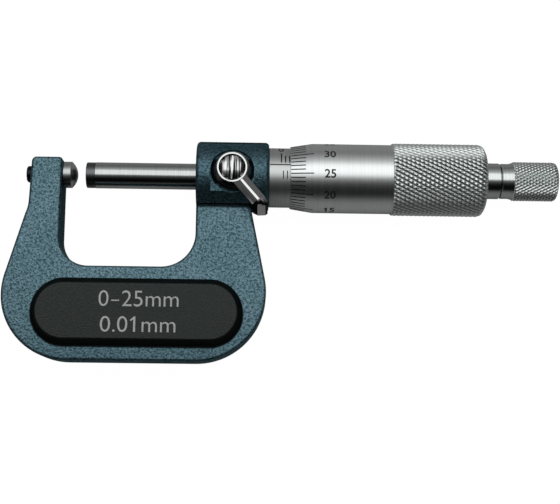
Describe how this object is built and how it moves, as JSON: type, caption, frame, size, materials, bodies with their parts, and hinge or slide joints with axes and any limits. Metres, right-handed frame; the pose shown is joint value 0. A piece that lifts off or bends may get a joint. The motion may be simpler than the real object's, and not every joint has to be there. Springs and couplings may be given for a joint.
{
  "type": "tube micrometer",
  "caption": "Outside micrometer with a ball-ended anvil for tube walls, a U-shaped frame, a graduated thimble, a ratchet knob and a spindle lock lever.",
  "frame": {"origin": "top of the anvil's ball end, on the spindle axis", "axes": "+X along the spindle from the anvil to the ratchet, +Y from the grip plate towards the spindle, +Z out of the front, towards the lock lever"},
  "size_m": [0.1368, 0.0555, 0.0213],
  "materials": {
    "blue_paint": "hammered",
    "black_plastic": "fine grain",
    "polished_steel": "ground and polished",
    "satin_chrome": "satin",
    "bright_chrome": "polished",
    "dark_steel": "blackened",
    "carbide": "lapped",
    "bare_steel": "turned",
    "spring_steel": "drawn wire",
    "brass": "turned"
  },
  "bodies": {
    "frame_body": {"frame": "blue_paint", "anvil": "polished_steel", "front_grip_plate": "black_plastic", "rear_grip_plate": "black_plastic", "thread_bush": "bare_steel", "adjusting_nut": "bare_steel", "sleeve": "satin_chrome", "lock_collar": "dark_steel"},
    "travel_body": {"spindle_tip": "carbide"},
    "thimble_body": {"spindle": "polished_steel", "thimble": "satin_chrome", "ratchet_body": "satin_chrome", "ratchet_spring": "spring_steel", "ratchet_washer": "bare_steel", "ratchet_screw": "bare_steel"},
    "pawl_body": {"ratchet_pawl": "bare_steel"},
    "knob_body": {"ratchet_knob": "satin_chrome", "end_cap": "satin_chrome"},
    "lever_body": {"lock_lever": "bright_chrome", "lock_screw": "bright_chrome", "lock_stem": "bare_steel"},
    "pad_body": {"lock_pad": "brass"}
  },
  "joints": [
    {"name": "spindle_travel", "type": "slide", "parent": "frame_body", "child": "travel_body", "axis": [1, 0, 0], "range_m": [-0.00227, 0.02273]},
    {"name": "thimble_turn", "type": "hinge", "parent": "travel_body", "child": "thimble_body", "pos_m": [0.06, 0, 0], "axis": [1, 0, 0], "range_deg": [-1632, 16367]},
    {"name": "ratchet_click", "type": "slide", "parent": "thimble_body", "child": "pawl_body", "axis": [1, 0, 0], "range_m": [-0.0005, 0], "stiffness_N_per_m": 300, "springref_m": 0.001},
    {"name": "ratchet_spin", "type": "hinge", "parent": "thimble_body", "child": "knob_body", "pos_m": [0.11, 0, 0], "axis": [1, 0, 0], "continuous": true},
    {"name": "lock_swing", "type": "hinge", "parent": "frame_body", "child": "lever_body", "pos_m": [0.0386, 0, 0.0095], "axis": [0, 0, 1], "range_deg": [-40.1, 20.1]},
    {"name": "lock_press", "type": "slide", "parent": "frame_body", "child": "pad_body", "axis": [0, 0, 1], "range_m": [-0.0000418, 0.0000209]}
  ],
  "couplings": [
    {"joint": "thimble_turn", "follows": "spindle_travel", "rad_per_m": 12566},
    {"joint": "lock_swing", "follows": "lock_press", "rad_per_m": 16667}
  ]
}
